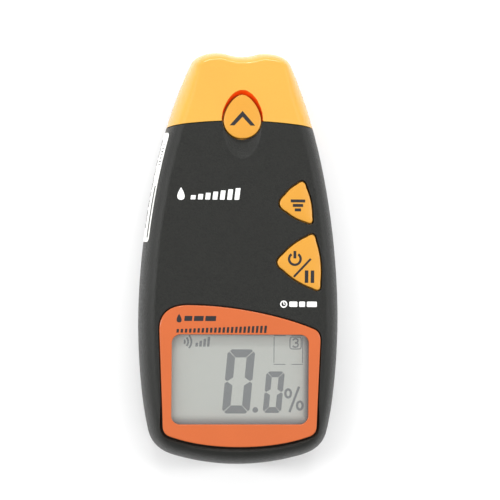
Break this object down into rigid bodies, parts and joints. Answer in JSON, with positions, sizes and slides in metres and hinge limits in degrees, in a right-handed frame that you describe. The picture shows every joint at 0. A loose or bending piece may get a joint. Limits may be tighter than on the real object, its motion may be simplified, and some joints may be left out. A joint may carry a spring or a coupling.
{
  "type": "moisture meter",
  "caption": "Hand-held pinless moisture meter with a tapered two-part case, an end cap, a display window, three push keys and a sliding battery door.",
  "frame": {"origin": "middle of the flat back, under the centre of the bounding box", "axes": "+X to the right as the display is read, +Y towards the head with the up key, +Z out of the display face"},
  "size_m": [0.068, 0.14, 0.03],
  "materials": {
    "black_shell": "moulded ABS with a fine sand texture",
    "nose": "moulded ABS, light orange, satin",
    "key": "moulded ABS key, amber, satin",
    "bezel": "moulded ABS, deeper orange, satin",
    "window": "clear acrylic window",
    "display": "liquid crystal panel behind glass",
    "label": "white polyester sticker",
    "steel": "zinc-plated steel",
    "board": "solder mask on glass-epoxy board",
    "rubber": "black rubber",
    "component": "black electronic component",
    "battery": "printed battery jacket",
    "foam": "closed-cell foam",
    "red_wire": "red PVC wire",
    "black_wire": "black PVC wire"
  },
  "bodies": {
    "root": {"battery": "battery", "battery_clip": "rubber", "battery_foam": "foam", "battery_negative_terminal": "steel", "battery_positive_terminal": "steel", "black_lead": "black_wire", "board_screw_1": "steel", "board_screw_2": "steel", "board_screw_3": "steel", "capacitor": "component", "controller_chip": "component", "crystal": "steel", "display_bezel": "bezel", "display_window": "window", "front_shell": "black_shell", "lcd_connector": "rubber", "lcd_frame": "component", "lcd_panel": "display", "main_board": "board", "mode_switch_body": "steel", "nose_cap": "nose", "power_switch_body": "steel", "rear_shell": "black_shell", "red_lead": "red_wire", "sense_plate": "steel", "sense_spring": "steel", "sensor_pad": "rubber", "shell_screw_1": "steel", "shell_screw_2": "steel", "shell_screw_3": "steel", "shell_screw_4": "steel", "shell_screw_5": "steel", "shell_screw_6": "steel", "side_label": "label", "up_switch_body": "steel"},
    "up_key": {"up_button": "key", "up_switch_plunger": "component"},
    "mode_key": {"mode_button": "key", "mode_switch_plunger": "component"},
    "power_key": {"power_button": "key", "power_switch_plunger": "component"},
    "door": {"battery_door": "black_shell"}
  },
  "joints": [
    {"name": "up_key_press", "type": "slide", "parent": "root", "child": "up_key", "axis": [0, 0, -1], "range_m": [0, 0.00055], "stiffness_N_per_m": 1500},
    {"name": "mode_key_press", "type": "slide", "parent": "root", "child": "mode_key", "axis": [0, 0, -1], "range_m": [0, 0.00055], "stiffness_N_per_m": 1500},
    {"name": "power_key_press", "type": "slide", "parent": "root", "child": "power_key", "axis": [0, 0, -1], "range_m": [0, 0.00055], "stiffness_N_per_m": 1500},
    {"name": "battery_door_slide", "type": "slide", "parent": "root", "child": "door", "axis": [0, -1, 0], "range_m": [0, 0.055]}
  ]
}
